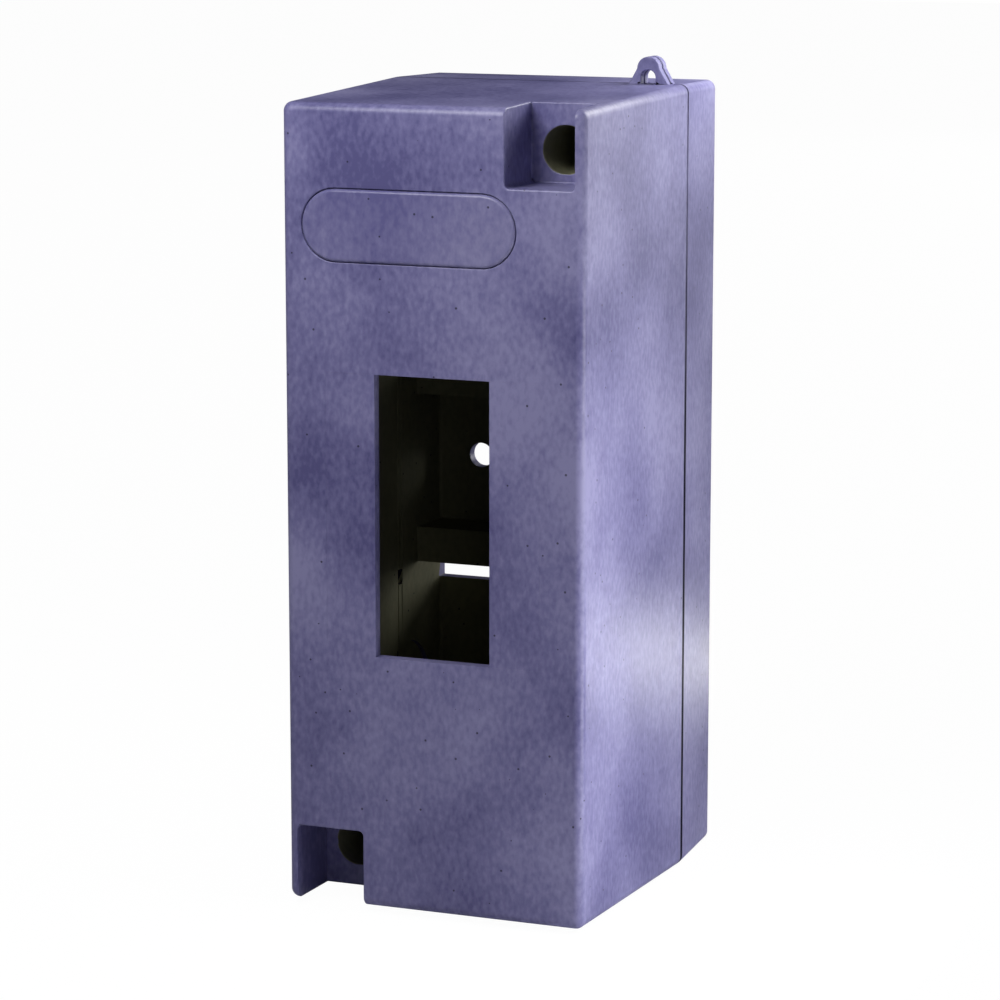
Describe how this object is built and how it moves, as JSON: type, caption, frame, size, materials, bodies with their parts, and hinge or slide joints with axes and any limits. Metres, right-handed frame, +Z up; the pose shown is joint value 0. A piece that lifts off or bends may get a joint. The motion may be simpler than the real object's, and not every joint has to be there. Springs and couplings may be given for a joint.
{
  "type": "modular circuit breaker enclosure",
  "caption": "Small surface-mounted plastic enclosure for DIN modular breakers: screwed cover with device window, label plate and sealing lug, over a base with moulded rail lips.",
  "frame": {"origin": "on the wall face, behind the centre of the box", "axes": "+Z up along the box's height, +Y into the wall, so the front faces -Y, +X to the right seen from the front"},
  "size_m": [0.0522, 0.0621, 0.1344],
  "materials": {
    "shell": "fine-grained moulded ABS, violet-slate",
    "label": "fine-grained moulded ABS, satin rim",
    "screw_steel": "zinc-plated steel",
    "washer": "natural nylon",
    "insert_brass": "turned brass"
  },
  "bodies": {
    "base": {"base_tray": "shell", "upper_threaded_insert": "insert_brass", "lower_threaded_insert": "insert_brass", "base_knockout_left_lower": "shell", "base_knockout_left_upper": "shell", "base_knockout_right_lower": "shell", "base_knockout_right_upper": "shell"},
    "cover": {"front_cover": "shell", "label_plate": "label", "window_strip_left": "shell", "window_strip_right": "shell", "cover_knockout_left_lower": "shell", "cover_knockout_left_upper": "shell", "cover_knockout_right_lower": "shell", "cover_knockout_right_upper": "shell"},
    "upper_washer": {"upper_screw_washer": "washer"},
    "lower_washer": {"lower_screw_washer": "washer"},
    "upper_screw": {"upper_cover_screw": "screw_steel"},
    "lower_screw": {"lower_cover_screw": "screw_steel"}
  },
  "joints": [
    {"name": "cover_lift", "type": "slide", "parent": "base", "child": "cover", "axis": [0, -1, 0], "range_m": [0, 0.08]},
    {"name": "upper_screw_travel", "type": "slide", "parent": "cover", "child": "upper_washer", "axis": [0, -1, 0], "range_m": [0, 0.007]},
    {"name": "upper_screw_turn", "type": "hinge", "parent": "upper_washer", "child": "upper_screw", "pos_m": [0.01785, -0.0208, 0.0569], "axis": [0, -1, 0], "range_deg": [0, 3600]},
    {"name": "lower_screw_travel", "type": "slide", "parent": "cover", "child": "lower_washer", "axis": [0, -1, 0], "range_m": [0, 0.007]},
    {"name": "lower_screw_turn", "type": "hinge", "parent": "lower_washer", "child": "lower_screw", "pos_m": [-0.01785, -0.0208, -0.0569], "axis": [0, -1, 0], "range_deg": [0, 3600]}
  ],
  "couplings": [
    {"joint": "upper_screw_turn", "follows": "upper_screw_travel", "rad_per_m": 8976},
    {"joint": "lower_screw_turn", "follows": "lower_screw_travel", "rad_per_m": 8976}
  ]
}
